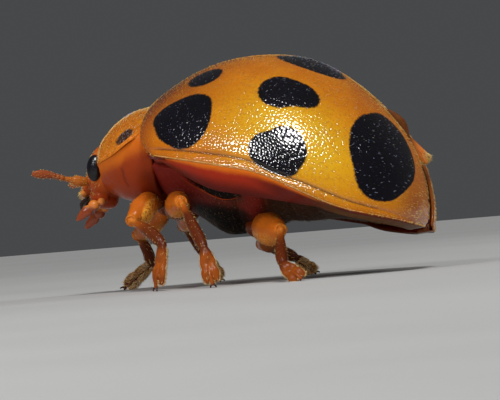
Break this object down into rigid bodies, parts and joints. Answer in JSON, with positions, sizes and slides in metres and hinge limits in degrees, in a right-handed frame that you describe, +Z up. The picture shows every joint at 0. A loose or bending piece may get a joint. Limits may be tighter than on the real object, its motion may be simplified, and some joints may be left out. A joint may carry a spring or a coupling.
{
  "type": "ladybird beetle",
  "caption": "Spotted orange ladybird beetle standing on slim jointed legs, head raised, domed wing cases slightly parted over folded hind wings.",
  "frame": {"origin": "centre of the footprint box, on the floor under the feet", "axes": "+Z up; the body's length runs along X with the head towards -X and the wing-case tips towards +X; the beetle's left side faces -Y"},
  "size_m": [0.01, 0.0082, 0.0057],
  "materials": {
    "wing_case": "glossy, finely pitted, orange with black spots, under short pale hairs",
    "shield": "satin orange with four dark spots, under short pale hairs",
    "eye": "glossy black, finely faceted",
    "jaw": "glossy dark brown",
    "hind_wing": "translucent brown membrane",
    "belly": "satin dark brown, finely haired",
    "foot": "red-brown with pale hairy soles",
    "leg": "smooth orange",
    "antenna": "orange to red-brown, finely haired",
    "head": "smooth orange-red"
  },
  "bodies": {
    "root": {"abdomen": "belly", "antenna_base_left": "antenna", "antenna_base_right": "antenna", "antenna_club_left": "antenna", "antenna_club_right": "antenna", "coxa_front_left": "leg", "coxa_front_right": "leg", "coxa_hind_left": "leg", "coxa_hind_right": "leg", "coxa_middle_left": "leg", "coxa_middle_right": "leg", "elytron_left": "wing_case", "elytron_right": "wing_case", "eye_left": "eye", "eye_right": "eye", "femur_front_left": "leg", "femur_front_right": "leg", "femur_hind_left": "leg", "femur_hind_right": "leg", "femur_middle_left": "leg", "femur_middle_right": "leg", "head": "head", "hindwing_left": "hind_wing", "hindwing_right": "hind_wing", "lower_lip": "head", "mandible_left": "jaw", "mandible_right": "jaw", "palp_left": "head", "palp_right": "head", "pronotum": "shield", "prothorax": "head", "scutellum": "shield", "tarsus_front_left": "foot", "tarsus_front_right": "foot", "tarsus_hind_left": "foot", "tarsus_hind_right": "foot", "tarsus_middle_left": "foot", "tarsus_middle_right": "foot", "thorax": "belly", "tibia_front_left": "leg", "tibia_front_right": "leg", "tibia_hind_left": "leg", "tibia_hind_right": "leg", "tibia_middle_left": "leg", "tibia_middle_right": "leg", "upper_lip": "head"}
  },
  "joints": []
}
